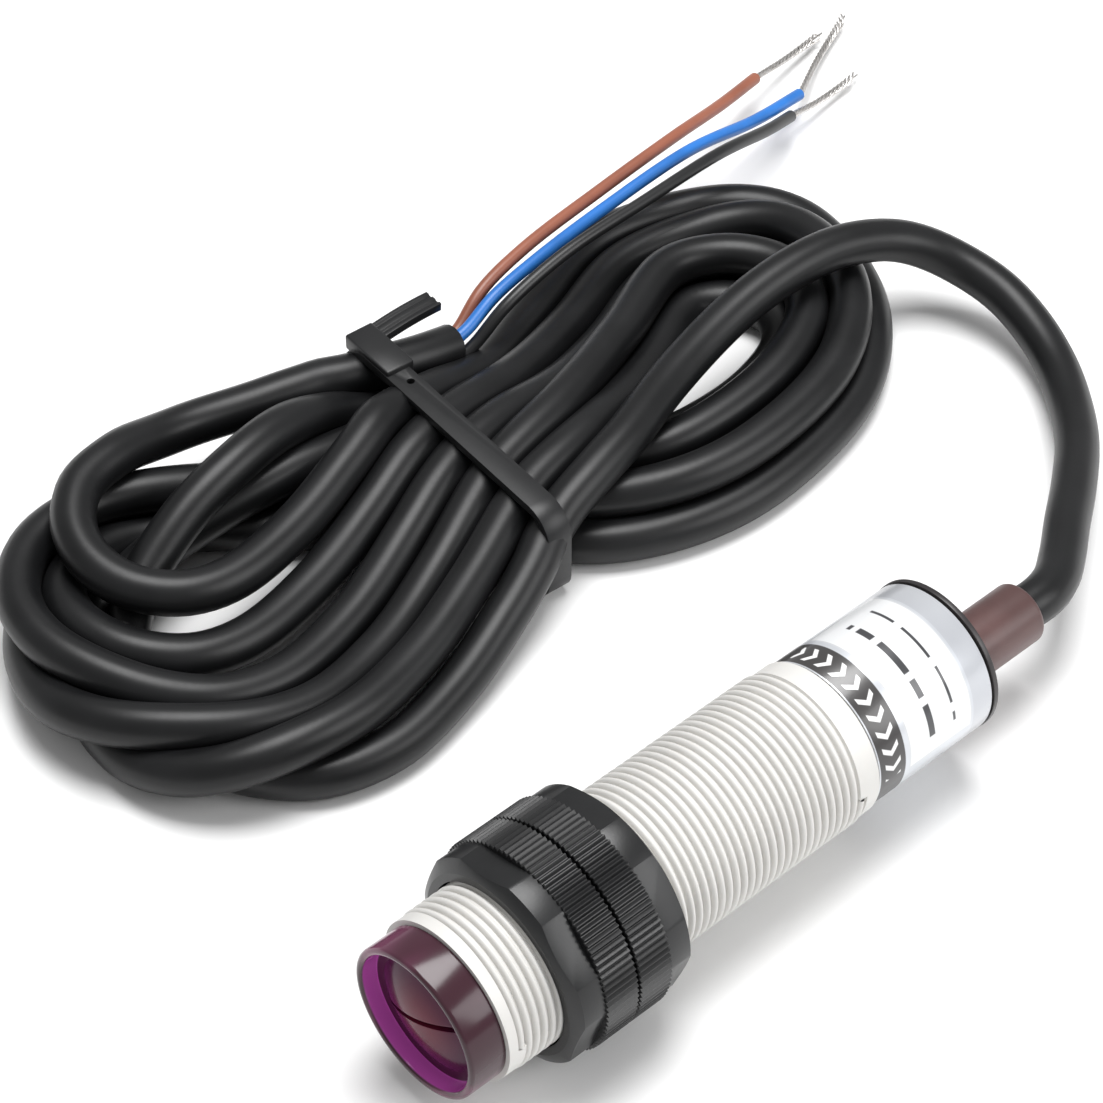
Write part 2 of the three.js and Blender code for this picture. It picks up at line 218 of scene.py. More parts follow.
class Shade:
    def __init__(self, name, color, roughness, metallic=0.0, **sockets):
        self.material = bpy.data.materials.new(name)
        self.material.use_nodes = True
        self.tree = self.material.node_tree
        self.bsdf = self.tree.nodes["Principled BSDF"]
        self.set("Base Color", (*color, 1))
        self.set("Roughness", roughness)
        self.set("Metallic", metallic)
        for key, value in sockets.items():
            self.set(key.replace("_", " "), value)
        self.place = self.node("ShaderNodeTexCoord", out="Object")

    def set(self, key, value):
        if isinstance(value, Wire):
            self.tree.links.new(value.socket, self.bsdf.inputs[key])
        else:
            self.bsdf.inputs[key].default_value = value

    def node(self, kind, settings=None, inputs=(), out=0):
        made = self.tree.nodes.new(kind)
        for key, value in (settings or {}).items():
            setattr(made, key, value)
        pairs = inputs.items() if isinstance(inputs, dict) else enumerate(inputs)
        for key, value in pairs:
            if isinstance(value, Wire):
                self.tree.links.new(value.socket, made.inputs[key])
            else:
                made.inputs[key].default_value = value
        return Wire(self, made.outputs[out])

    def noise(self, scale, detail=3.0, place=None, roughness=0.5):
        return self.node(
            "ShaderNodeTexNoise", {},
            {"Vector": place or self.place, "Scale": scale, "Detail": detail, "Roughness": roughness})

    def stretched(self, scale, location=(0, 0, 0)):
        return self.node(
            "ShaderNodeMapping", {}, {"Vector": self.place, "Location": location, "Scale": scale})

    def ramp(self, value, low, high):
        return self.node(
            "ShaderNodeMapRange", {"interpolation_type": "SMOOTHSTEP"},
            {"Value": value, "From Min": low, "From Max": high, "To Min": 0.0, "To Max": 1.0})

    def mix(self, factor, first, second):
        colors = [(*c, 1) if isinstance(c, tuple) and len(c) == 3 else c for c in (first, second)]
        return self.node(
            "ShaderNodeMix", {"data_type": "RGBA"}, {0: factor, 6: colors[0], 7: colors[1]}, out=2)

    def bump(self, height, distance, strength=1.0):
        self.set("Normal", self.node(
            "ShaderNodeBump", {}, {"Height": height, "Distance": distance, "Strength": strength}))

    def aroundAxis(self):
        # centred on the sensor's axis: across, along from the lens rim, up, and the angle about it
        centred = self.stretched((1, 1, 1), (0, -rimPlace, -axisHeight))
        parts = [self.node("ShaderNodeSeparateXYZ", {}, [centred], out=i) for i in range(3)]
        angle = parts[0].maths("ARCTAN2", parts[2])
        return (*parts, angle)


def moulded(name, color, roughness, grain=900, depth=0.004 * mm, mottle=0.08, **sockets):
    # moulded or extruded plastic: faint mottling, uneven gloss and a fine surface grain
    shade = Shade(name, color, roughness, **sockets)
    cloud = shade.noise(140, 4)
    fine = shade.noise(grain * 3, 5)
    darker = tuple(c * (1 - mottle) for c in color)
    lighter = tuple(min(1, c * (1 + mottle)) for c in color)
    shade.set("Base Color", shade.mix(shade.ramp(cloud, 0.35, 0.65), darker, lighter))
    shade.set("Roughness", roughness - 0.05 + 0.1 * cloud + 0.06 * fine)
    shade.bump(fine, depth)
    return shade


def dress(piece, shade):
    piece.data.materials.clear()
    piece.data.materials.append(shade.material)


def dressNode(name, shade):
    piece = nodes[name]
    for slot in piece.material_slots:
        slot.material = shade.material
    if not piece.material_slots:
        piece.data.materials.append(shade.material)


# Cable: from the boot over the floor to the hank, round its turns, to the end of the jacket

cable = {
    "diameter": 5.0,
    "lead": [
        (0.83, 47.65, 10.12), (0.85, 50.4, 10.1), (-0.1, 53.6, 9.6), (-2.6, 57.6, 8.8), (-6, 62.2, 7.9),
        (-10.2, 68.1, 6.6), (-15.6, 74.8, 5), (-21.3, 80, 3.9), (-26.6, 83.6, 3.7), (-32.2, 85.8, 4.4),
        (-38.2, 86.4, 5.8), (-44.4, 84.6, 7.6),
    ],
    "over": [
        (-48.4, 80.8, 10), (-50.6, 74.4, 12.6), (-51.6, 66.8, 14.5), (-51.8, 59, 15),
        (-51.0, 51.6, 14.4), (-49.3, 43.8, 13), (-47.1, 36.5, 11.4), (-45.1, 29.8, 9.4),
    ],
    "tiePlace": 21.5,
    "upper": 8.7,
    "lower": 3.6,
    "cut": [(-80.0, 1.5, 8.0), (-77.2, 11, 8.4), (-74.4, 19.5, 8.6), (-73.4, 24.6, 8.4),
            (-72.7, 29.2, 7.6), (-72.5, 33.3, 6.6)],
    "step": 2.4,
    "rounds": 420,
    "clearance": 0.05,
    "sink": 0.12,
    "pull": 0.06,
    "tieReach": 3.5,
    "tiePull": 0.5,
    "tiePullHeight": 0.6,
    "leadFade": 14,
    "drawnStep": 1.1,
}
# each front turn: where it crosses the tie, then the middle and radius of its end
frontTurns = [
    (-43.2, -51.2, -9.2, 17.2), (-47.9, -54.7, -11.8, 17.1), (-52.6, -58.6, -13.4, 17.1),
    (-57.2, -62.6, -13.8, 15.6), (-61.8, -65.8, -12.6, 12.0), (-66.4, -69.3, -9.4, 10.1),
]
# each back turn: where it crosses under the tie, its right side, its top, and its left side
backTurns = [
    (-70.4, -46.8, -54.5, 67.0, -62.3), (-65.5, -43.8, -56.0, 70.6, -65.8),
    (-60.6, -41.2, -58.5, 74.2, -69.3), (-55.8, -38.6, -62.0, 77.6, -73.0),
    (-51.0, -36.2, -65.0, 80.4, -76.4),
]


def turnPoints():
    points = []
    tie, upper, lower = cable["tiePlace"], cable["upper"], cable["lower"]
    last = len(frontTurns) - 1
    for turn, (tieX, middleX, middleY, radius) in enumerate(frontTurns):
        lift = 2.5 + 3.6 * turn
        right, left = middleX + radius, middleX - radius
        points.append((tieX, tie, upper))
        points.append((tieX + (right - tieX) * 0.42, tie + (middleY - tie) * 0.33, max(lift, 6)))
        points.append((tieX + (right - tieX) * 0.82, tie + (middleY - tie) * 0.68, lift))
        for step in range(7):
            angle = math.pi * step / 6
            points.append(
                (middleX + radius * math.cos(angle), middleY - radius * math.sin(angle), lift))
        if turn == last:
            break
        underX, rightX, topX, topY, leftX = backTurns[turn]
        lift = 2.5 + 2.6 * (last - 1 - turn)
        points.append((left + (underX - left) * 0.16, middleY + (tie - middleY) * 0.33, lower + 1))
        points.append((left + (underX - left) * 0.5, middleY + (tie - middleY) * 0.68, lower))
        points.append((underX, tie, lower))
        points.append((underX + (rightX - underX) * 0.62, tie + 8, lower))
        points.append((underX + (rightX - underX) * 0.93, tie + 17, lower + 0.5))
        for step in range(4):
            angle = math.pi * step / 6
            points.append(
                (topX + (rightX - topX) * math.cos(angle), 49 + (topY - 49) * math.sin(angle), lift))
        for step in range(4, 7):
            angle = math.pi * step / 6
            points.append(
                (topX + (topX - leftX) * math.cos(angle), 60 + (topY - 60) * math.sin(angle), lift))
        nextX = frontTurns[turn + 1][0]
        points.append((leftX + (nextX - leftX) * 0.38, 48, max(lift, 6)))
        points.append((leftX + (nextX - leftX) * 0.78, 35, upper - 0.6))
    return points + cable["cut"]


def smoothLine(points, step):
    # a centripetal curve through the points, with places a step apart
    p = np.array(points, float)
    ends = np.vstack([2 * p[0] - p[1], p, 2 * p[-1] - p[-2]])
    line = []
    for a, b, c, d in zip(ends, ends[1:], ends[2:], ends[3:]):
        knots = np.cumsum([0] + [math.sqrt(np.linalg.norm(v - u)) for u, v in ((a, b), (b, c), (c, d))])
        for t in np.linspace(knots[1], knots[2], 12, endpoint=False):
            one, two, three = (
                ((knots[i + 1] - t) * u + (t - knots[i]) * v) / (knots[i + 1] - knots[i])
                for i, (u, v) in enumerate(((a, b), (b, c), (c, d))))
            left = ((knots[2] - t) * one + (t - knots[0]) * two) / (knots[2] - knots[0])
            right = ((knots[3] - t) * two + (t - knots[1]) * three) / (knots[3] - knots[1])
            line.append(((knots[2] - t) * left + (t - knots[1]) * right) / (knots[2] - knots[1]))
    return evenly(np.array(line + [ends[-2]]), step)


def evenly(line, step):
    along = np.concatenate([[0], np.cumsum(np.linalg.norm(np.diff(line, axis=0), axis=1))])
    at = np.linspace(0, along[-1], int(along[-1] / step) + 1)
    return np.stack([np.interp(at, along, line[:, k]) for k in range(3)], axis=1)


def eased(values, passes):
    # a cord bends slowly, so what moves one place is shared with the places beside it
    values = values.copy()
    for _ in range(passes):
        values[1:-1] = 0.25 * values[:-2] + 0.5 * values[1:-1] + 0.25 * values[2:]
    return values


def settle(target, fixed):
    # lets the turns sink onto the floor and onto each other, a diameter apart
    radius = cable["diameter"] / 2
    apart = cable["diameter"] + cable["clearance"]
    line = target.copy()
    count = len(line)
    order = np.arange(count)
    nearTie = (abs(line[:, 1] - cable["tiePlace"]) < cable["tieReach"]) & (order > fixed)
    hold = np.where(order < fixed, 1.0, np.where(nearTie, cable["tiePull"], cable["pull"]))
    holdHeight = np.where(order < fixed, 1.0, np.where(nearTie, cable["tiePullHeight"], 0.0))
    hold[-4:] = holdHeight[-4:] = 1.0
    fade = np.clip(1 - (order - fixed) / cable["leadFade"], 0, 1) ** 2
    holdHeight = np.maximum(holdHeight, fade)
    free = (1 - holdHeight)[:, None]
    for step in range(cable["rounds"]):
        if step % 15 == 0:
            gap = np.linalg.norm(line[:, None] - line[None, :], axis=2)
            first, second = np.nonzero(np.triu(gap < apart + 4, 7))
        line[:, 2] -= cable["sink"] * (1 - holdHeight)
        line[:, :2] += hold[:, None] * (target - line)[:, :2]
        line[:, 2] += holdHeight * (target - line)[:, 2]
        line[:, 2:] += (eased(line[:, 2:], 6) - line[:, 2:]) * free
        line[:, :2] = target[:, :2] + eased((line - target)[:, :2], 6)
        for _ in range(4):
            between = line[first] - line[second]
            far = np.linalg.norm(between, axis=1) + 1e-9
            short = np.maximum(apart - far, 0) / far * 0.5
            push = between * short[:, None] * (0.45, 0.45, 1.0)
            total = np.zeros_like(line)
            np.add.at(total, first, push)
            np.add.at(total, second, -push)
            touching = np.zeros(count)
            np.add.at(touching, first, short > 0)
            np.add.at(touching, second, short > 0)
            total /= np.maximum(touching, 1)[:, None]
            line += (0.4 * total + 1.6 * eased(total, 5)) * (0.05 + 0.95 * free)
            line[:, 2] = np.maximum(line[:, 2], radius)
    line[fixed:, 2] = eased(line[fixed:, 2], 8)
    return line


def tube(name, line, diameter, sides=5):
    data = bpy.data.curves.new(name, "CURVE")
    data.dimensions = "3D"
    data.bevel_depth = diameter / 2 * mm
    data.bevel_resolution = sides
    data.use_fill_caps = True
    spline = data.splines.new("POLY")
    spline.points.add(len(line) - 1)
    spline.points.foreach_set("co", [v for p in line for v in (*[float(c) * mm for c in p], 1.0)])
    spline.use_smooth = True
    piece = bpy.data.objects.new(name, data)
    bpy.context.scene.collection.objects.link(piece)
    return piece


def lineLength(line):
    return float(np.linalg.norm(np.diff(np.array(line, float), axis=0), axis=1).sum()) * mm


jacketShade = moulded("cableJacket", (0.007, 0.0072, 0.0078), 0.36, grain=700, mottle=0.15,
                      Specular_IOR_Level=0.34)


def makeCable():
    target = smoothLine(cable["lead"] + cable["over"] + turnPoints(), cable["step"])
    fixed = len(smoothLine(cable["lead"], cable["step"]))
    line = smoothLine(settle(target, fixed), cable["drawnStep"])
    piece = tube("sensor_cable", line, cable["diameter"], sides=6)
    dress(piece, jacketShade)
    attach(piece, "sensor_body")
    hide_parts("cable_lead", "cable_coil")
    print("cable", round(lineLength(line), 3), "m, highest", round(float(line[:, 2].max()), 1))
    return piece, line


sensorCable, cableLine = makeCable()

# Bare cores and their stripped strands

cores = {
    "brown": {
        "color": (0.27, 0.09, 0.052),
        "route": [(-73.7, 33.8, 6.4), (-73.9, 35.6, 6.9), (-75, 40, 9.2), (-76.3, 47.5, 10.2),
                  (-78.3, 61.5, 9.9), (-80.2, 75.2, 9.2), (-83.4, 86, 6.2), (-86.2, 94.7, 4)],
        "strand": [(-86.35, 95, 3.9), (-88, 102, 2.2), (-89.5, 109.8, 1.2)],
    },
    "blue": {
        "color": (0.02, 0.16, 0.52),
        "route": [(-72.2, 33.8, 7.6), (-72.3, 35.6, 8), (-72.9, 40, 9.6), (-73.9, 47.5, 10.2),
                  (-75.5, 58.8, 9.9), (-76.8, 74, 9.6), (-79, 87.5, 5.6), (-81.2, 97.4, 3)],
        "strand": [(-81.3, 97.7, 2.95), (-85.6, 105, 1.7), (-90.2, 114.6, 1)],
    },
    "black": {
        "color": (0.01, 0.0103, 0.011),
        "route": [(-71.1, 33.8, 5.8), (-70.9, 35.6, 6.8), (-70.6, 40, 10), (-71, 49.1, 12),
                  (-71.6, 62, 12), (-73, 75, 10.8), (-76, 86.8, 6.4), (-78.4, 93.1, 3.6)],
        "strand": [(-78.5, 93.4, 3.5), (-79.6, 99.5, 1.9), (-80.8, 107.3, 1)],
    },
}
coreSize = {
    "diameter": 1.5, "wire": 0.27, "wires": 7, "lay": 5.0, "twist": 0.29, "fray": 0.9, "step": 0.35,
}
tinned = Shade("tinnedCopper", (0.62, 0.6, 0.57), 0.32, 1.0)
streak = tinned.noise(2500, 3)
tinned.set("Base Color", tinned.mix(streak, (0.5, 0.46, 0.42), (0.82, 0.82, 0.82)))
tinned.set("Roughness", 0.24 + 0.2 * streak)
tinned.bump(streak, 0.01 * mm)


def makeStrands(name, points):
    # a bundle of fine wires, twisted together and spreading a little at the tip
    line = smoothLine(points, coreSize["step"])
    ahead = np.gradient(line, axis=0)
    ahead /= np.linalg.norm(ahead, axis=1)[:, None]
    side = np.cross(ahead, (0, 0, 1))
    side /= np.linalg.norm(side, axis=1)[:, None]
    above = np.cross(side, ahead)
    along = np.arange(len(line)) * coreSize["step"]
    share = along / along[-1]
    wires = []
    for wire in range(coreSize["wires"]):
        outer = 0 if wire == 0 else coreSize["twist"] * (1 + coreSize["fray"] * share ** 4)
        angle = 2 * math.pi * (along / coreSize["lay"] + wire / (coreSize["wires"] - 1))
        around = side * np.cos(angle)[:, None] + above * np.sin(angle)[:, None]
        places = line + around * np.reshape(outer, (-1, 1))
        end = len(line) - 3 * ((wire * 5) % 4)
        piece = tube(f"{name}_{wire}", places[:end], coreSize["wire"], sides=1)
        useOnly(piece)
        bpy.ops.object.convert(target="MESH")
        wires.append(bpy.context.active_object)
    bundle = joined(*wires)
    bundle.name = name
    bundle.data.name = name
    tidyMesh(bundle, 0.0005 * mm)
    smoothShade(bundle, 60)
    return bundle


def makeCores():
    for name, core in cores.items():
        line = smoothLine(core["route"], 0.6)
        piece = tube(f"{name}_wire", line, coreSize["diameter"], sides=4)
        dress(piece, moulded(f"{name}Core", core["color"], 0.36, grain=1200, mottle=0.1))
        strands = makeStrands(f"{name}_bare_end", core["strand"])
        dress(strands, tinned)
        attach(piece, "sensor_body")
        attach(strands, "sensor_body")
        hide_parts(f"{name}_core")
        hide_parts(f"{name}_strands")
        tuple(c * mm for c in core["route"][0])
        print(name, "core", round(lineLength(line), 4), "m")


makeCores()

# Tie round the hank's waist

tie = {
    "left": -76.4, "right": -40.2, "low": 0.5, "high": 11.7, "width": 3.0, "thick": 0.8,
    "place": 21.4, "lean": -0.08, "corner": 3.2, "tail": 8.6, "tailWidth": 2.6, "rib": 0.2,
    "head": (8.0, 3.7, 2.0), "headTurn": -4.5, "hole": (-66.6, 0.9), "holeRadius": 0.45, "edge": 0.12,
}


def strapSection(name, width):
    # flat strap with a raised rib along each edge and a ridge down the middle
    half, thick, rib = width / 2, tie["thick"] / 2, tie["rib"]
    outline = [
        (-half, -thick), (half, -thick), (half, thick + rib), (half - 0.4, thick + rib),
        (half - 0.6, thick), (0.45, thick), (0.25, thick + rib), (-0.25, thick + rib),
        (-0.45, thick), (0.6 - half, thick), (0.4 - half, thick + rib), (-half, thick + rib),
    ]
    data = bpy.data.curves.new(name, "CURVE")
    data.dimensions = "2D"
    spline = data.splines.new("POLY")
    spline.points.add(len(outline) - 1)
    spline.points.foreach_set("co", [v for x, y in outline for v in (x * mm, y * mm, 0, 1)])
    spline.use_cyclic_u = True
    section = bpy.data.objects.new(name, data)
    bpy.context.scene.collection.objects.link(section)
    return section


def strap(name, points, width, closed):
    section = strapSection(name + "_section", width)
    data = bpy.data.curves.new(name, "CURVE")
    data.dimensions = "3D"
    data.bevel_mode = "OBJECT"
    data.bevel_object = section
    data.use_fill_caps = not closed
    data.twist_mode = "Z_UP" if not closed else "MINIMUM"
    spline = data.splines.new("POLY")
    spline.points.add(len(points) - 1)
    spline.points.foreach_set("co", [v for p in points for v in (*[float(c) * mm for c in p], 1.0)])
    spline.use_cyclic_u = closed
    piece = bpy.data.objects.new(name, data)
    bpy.context.scene.collection.objects.link(piece)
    useOnly(piece)
    bpy.ops.object.convert(target="MESH")
    piece = bpy.context.active_object
    bpy.data.objects.remove(section, do_unlink=True)
    return piece


def makeTie():
    left, right, low, high, corner = (tie[k] for k in ("left", "right", "low", "high", "corner"))
    ring = []
    lowCorner = corner * 0.7
    corners = [(right - corner, high - corner, 0), (left + corner, high - corner, 1),
               (left + lowCorner, low + lowCorner, 2), (right - lowCorner, low + lowCorner, 3)]
    for x, z, quarter in corners:
        radius = corner if quarter < 2 else lowCorner
        for step in range(7):
            angle = math.pi / 2 * (quarter + step / 6)
            ring.append((x + radius * math.cos(angle), tie["place"], z + radius * math.sin(angle)))
    ring = [(x, y + (x - (left + right) / 2) * tie["lean"], z) for x, y, z in ring]
    loop = strap("cable_strap", ring, tie["width"], True)
    headLength, headWidth, headThick = tie["head"]
    headY = tie["place"] + tie["lean"] * (left - right) / 2
    tailStart = Vector((left + 1.2, headY + headWidth / 2 - 0.3, high - 0.1))
    tail = [tailStart + Vector((0.02 * t * tie["tail"], t * tie["tail"], 0.3 * math.sin(t * 2.6)))
            for t in [i / 8 for i in range(9)]]
    tongue = strap("strap_tail", tail, tie["tailWidth"], False)
    clearSelection()
    middle = Vector((left + headLength / 2 - 0.2, headY + 0.1, high)) * mm
    bpy.ops.mesh.primitive_cube_add(size=1, location=middle)
    head = added("strap_head")
    head.scale = (headLength * mm, headWidth * mm, headThick * mm)
    head.rotation_euler = (0, 0, math.radians(tie["headTurn"]))
    applyPlace(head)
    bevelled(head, 0.3 * mm, 2, 40)
    piece = joined(loop, tongue, head)
    tidyMesh(piece, 0.001 * mm)
    hole = cylinder("strap_hole", tie["holeRadius"] * mm, 0, 30 * mm, 20)
    holeX, holeOffset = tie["hole"]
    hole.location = (holeX * mm, (tie["place"] + holeOffset) * mm, -5 * mm)
    applyPlace(hole)
    boolean(piece, hole, "DIFFERENCE")
    bevelled(piece, tie["edge"] * mm, 2, 40)
    smoothShade(piece, 40)
    dress(piece, moulded("tiePlastic", (0.012, 0.0123, 0.013), 0.36, grain=800, mottle=0.15,
                         Specular_IOR_Level=0.36))
    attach(piece, "sensor_body")
    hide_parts("cable_tie")
    return piece


cableTie = makeTie()

# Cable boot

boot = {"radius": 3.45, "collar": 4.4, "collarLength": 1.0, "tipRound": 0.6, "sides": 64,
        "boreGap": 0.12, "boreDepth": 3.0}
bootLow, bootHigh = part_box("cable_boot")
bootX = (bootLow[0] + bootHigh[0]) / 2
bootZ = (bootLow[2] + bootHigh[2]) / 2
rearBrown = moulded("rearBrown", (0.088, 0.042, 0.04), 0.36, grain=900, mottle=0.18,
                    Specular_IOR_Level=0.6)


def makeBoot():
    start, tip = bootLow[1] - rimPlace, bootHigh[1] - rimPlace
    piece = cylinder("cable_gland", boot["radius"] * mm, start, tip, boot["sides"])
    pick(piece, lambda centre, normal: normal.z > 0.9)
    wall = boot["radius"] - cable["diameter"] / 2 - boot["boreGap"]
    bpy.ops.mesh.inset(thickness=wall * mm)
    bpy.ops.mesh.extrude_region_move(
        TRANSFORM_OT_translate={"value": (0, 0, -boot["boreDepth"] * mm)})
    pick(piece, lambda a, b: min(a.z, b.z) > tip - 0.01 * mm and a.xy.length > 3 * mm
         and b.xy.length > 3 * mm, "EDGE")
    bpy.ops.mesh.bevel(offset=boot["tipRound"] * mm, segments=5, affect="EDGES")
    backToObject()
    collarEnd = start + boot["collarLength"] * mm
    collar = cylinder("gland_collar", boot["collar"] * mm, start, collarEnd, boot["sides"])
    piece = joined(piece, collar)
    piece.rotation_euler = (-math.pi / 2, 0, 0)
    piece.location = (bootX, rimPlace, bootZ)
    applyPlace(piece)
    smoothShade(piece)
    dress(piece, rearBrown)
    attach(piece, "sensor_body")
    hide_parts("cable_boot")
    return piece


cableBoot = makeBoot()

# Barrel: thread with rounded crests, a plain band in front and a seat for the label behind

barrel = {
    "crest": 9.0, "root": 8.44, "pitch": 1.0, "band": 8.85, "ring": 8.78, "ringLength": 1.0,
    "bandLength": 2.2, "bore": 7.4, "sides": 120, "crestShare": 0.36,
    "seatPlay": 0.3,
}


def makeBarrel():
    pitch, root = barrel["pitch"] * mm, barrel["root"] * mm
    start, end = barrelLow[1] - rimPlace, barrelHigh[1] - rimPlace
    seat = labelLow[1] - rimPlace - barrel["seatPlay"] * mm
    threadStart = start + barrel["bandLength"] * mm
    threadEnd = seat - barrel["ringLength"] * mm
    clearSelection()
    half = barrel["crestShare"] * pitch
    bpy.ops.mesh.primitive_circle_add(vertices=14, radius=half, rotation=(math.pi / 2, 0, 0))
    piece = added("threaded_barrel")
    applyPlace(piece)
    pick(piece, lambda co: co.x < -0.001 * mm, "VERT")
    bpy.ops.mesh.delete(type="VERT")
    bpy.ops.mesh.select_all(action="SELECT")
    rise = (barrel["crest"] - barrel["root"]) * mm / half
    bpy.ops.transform.resize(value=(rise, 1, 1), center_override=(0, 0, 0))
    bpy.ops.transform.translate(value=(root, 0, threadStart + half))
    backToObject()
    top = max(v.co.z for v in piece.data.vertices)
    pick(piece, lambda co: co.z > top - 1e-7, "VERT")
    bpy.ops.mesh.extrude_region_move(TRANSFORM_OT_translate={"value": (0, 0, pitch - 2 * half)})
    backToObject()
    count = int((threadEnd - threadStart) / pitch)
    addModifier(piece, "ARRAY", count=count, use_relative_offset=False, use_constant_offset=True,
                constant_offset_displace=(0, 0, pitch), use_merge_vertices=True, merge_threshold=1e-6)
    for sign, radius, turns in ((-1, barrel["band"] * mm, 5), (1, barrel["ring"] * mm, 4)):
        edge = sign * max(sign * v.co.z for v in piece.data.vertices)
        pick(piece, lambda co: abs(co.z - edge) < 1e-7, "VERT")
        step = (radius - root, 0, sign * 0.12 * pitch)
        bpy.ops.mesh.extrude_region_move(TRANSFORM_OT_translate={"value": step})
        for _ in range(turns):
            bpy.ops.mesh.extrude_region_move(TRANSFORM_OT_translate={"value": (0, 0, sign * pitch)})
        backToObject()
    addModifier(piece, "SCREW", angle=2 * math.pi, screw_offset=-pitch, steps=barrel["sides"],
                render_steps=barrel["sides"], axis="Z", use_merge_vertices=False)
    useOnly(piece)
    bpy.ops.object.mode_set(mode="EDIT")
    bpy.ops.mesh.select_all(action="SELECT")
    bpy.ops.mesh.remove_doubles(threshold=0.004 * mm)
    bpy.ops.mesh.fill_holes(sides=40)
    for place, outer in ((start, False), (seat, True)):
        bpy.ops.mesh.select_all(action="SELECT")
        bpy.ops.mesh.bisect(plane_co=(0, 0, place), plane_no=(0, 0, 1), clear_outer=outer,
                            clear_inner=not outer, threshold=1e-7)
    backToObject()

    def boundary(place):
        pick(piece, lambda a, b: abs(a.z - place) < 1e-6 and abs(b.z - place) < 1e-6, "EDGE")

    def shrink(ratio):
        bpy.ops.mesh.extrude_region_move(TRANSFORM_OT_translate={"value": (0, 0, 0)})
        bpy.ops.transform.resize(value=(ratio, ratio, 1), center_override=(0, 0, 0))

    seatRadius = labelHigh[0] - barrel["seatPlay"] * mm
    boundary(seat)
    shrink(seatRadius / (barrel["ring"] * mm))
    bpy.ops.mesh.extrude_region_move(TRANSFORM_OT_translate={"value": (0, 0, end - seat)})
    shrink(barrel["bore"] * mm / seatRadius)
    backToObject()
    boundary(start)
    shrink(barrel["bore"] * mm / (barrel["band"] * mm))
    bpy.ops.mesh.extrude_region_move(TRANSFORM_OT_translate={"value": (0, 0, end - start - 0.002 * mm)})
    backToObject()
    tidyMesh(piece, 0.004 * mm)
    layAlongSensor(piece)
    smoothShade(piece, 50)
    print("barrel", len(piece.data.polygons), "faces")
    return piece


whiteShade = moulded("barrelWhite", (0.66, 0.65, 0.628), 0.42, grain=800, mottle=0.02,
                     Subsurface_Weight=0.06, Subsurface_Radius=(0.0006, 0.0005, 0.0004))
threadedBarrel = makeBarrel()
dress(threadedBarrel, whiteShade)
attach(threadedBarrel, "sensor_body")
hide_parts("barrel")

# Clamp nuts

nut = {
    "flats": 21.6, "cornerCut": 22.7, "hex": 3.4, "flange": 4.0, "radius": 11.75, "bore": 9.18,
    "ridges": 104, "ridgeDepth": 0.42, "chamfer": 0.75, "chamferDrop": 1.3,
    "edge": 0.16, "ringInset": 0.55, "ridgeEdge": 0.07,
}


def makeNut(name, node, turn, facing):
    low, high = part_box(node)
    length = (nut["hex"] + nut["flange"]) * mm
    flat = nut["flats"] / 2 * mm
    hexagon = cylinder(name, flat / math.cos(math.pi / 6), 0, (nut["hex"] + 1.5) * mm, 6)
    hexagon.rotation_euler = (0, 0, math.radians(turn))
    applyPlace(hexagon)
    # the turned front: a cone over a short height, then straight
    cone = cylinder(name + "_cone", nut["cornerCut"] / 2 * mm, 0, length, 128)
    pick(cone, lambda co: co.z < 1e-6, "VERT")
    ratio = 1 - nut["chamferDrop"] / (nut["cornerCut"] / 2)
    bpy.ops.transform.resize(value=(ratio, ratio, 1), center_override=(0, 0, 0))
    backToObject()
    pick(cone, lambda centre, normal: normal.z > 0.9)
    bpy.ops.transform.translate(value=(0, 0, nut["chamfer"] * mm - length))
    bpy.ops.mesh.extrude_region_move(TRANSFORM_OT_translate={"value": (0, 0, length)})
    backToObject()
    boolean(hexagon, cone, "INTERSECT")
    bevelled(hexagon, nut["edge"] * mm, 2, 18)
    ring = cylinder(name + "_flange", nut["radius"] * mm, nut["hex"] * mm, length, 2 * nut["ridges"])
    pick(ring, lambda centre, normal: abs(normal.z) > 0.9)
    bpy.ops.mesh.inset(thickness=nut["ringInset"] * mm)
    backToObject()
    grooveStep = math.pi / nut["ridges"]
    edgeOut = (nut["radius"] - 0.1) * mm
    pick(ring, lambda co: co.xy.length > edgeOut
         and round(math.atan2(co.y, co.x) / grooveStep) % 2 == 1, "VERT")
    ratio = 1 - nut["ridgeDepth"] / nut["radius"]
    bpy.ops.transform.resize(value=(ratio, ratio, 1), center_override=(0, 0, 0))
    backToObject()
    bevelled(ring, nut["ridgeEdge"] * mm, 1, 50)
    hole = cylinder(name + "_hole", nut["bore"] * mm, -mm, length + mm, 96)
    second = cylinder(name + "_hole2", nut["bore"] * mm, -mm, length + mm, 96)
    boolean(hexagon, hole, "DIFFERENCE")
    boolean(ring, second, "DIFFERENCE")
    piece = joined(hexagon, ring)
    if facing > 0:
        piece.rotation_euler = (-math.pi / 2, 0, 0)
        piece.location = (0, low[1], axisHeight)
    else:
        piece.rotation_euler = (math.pi / 2, 0, 0)
        piece.location = (0, high[1], axisHeight)
    applyPlace(piece)
    smoothShade(piece, 30)
    dress(piece, nutShade)
    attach(piece, node)
    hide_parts(node)
    print(name, len(piece.data.polygons), "faces")
    return piece


nutShade = moulded("nutBlack", (0.011, 0.0113, 0.012), 0.29, grain=1100, mottle=0.15, depth=0.006 * mm,
                   Specular_IOR_Level=0.4)
makeNut("front_clamp_nut", "front_nut", -43.6, 1)
makeNut("rear_clamp_nut", "rear_nut", 41, -1)

# Lens cap with its recessed window and the two half-round lenses

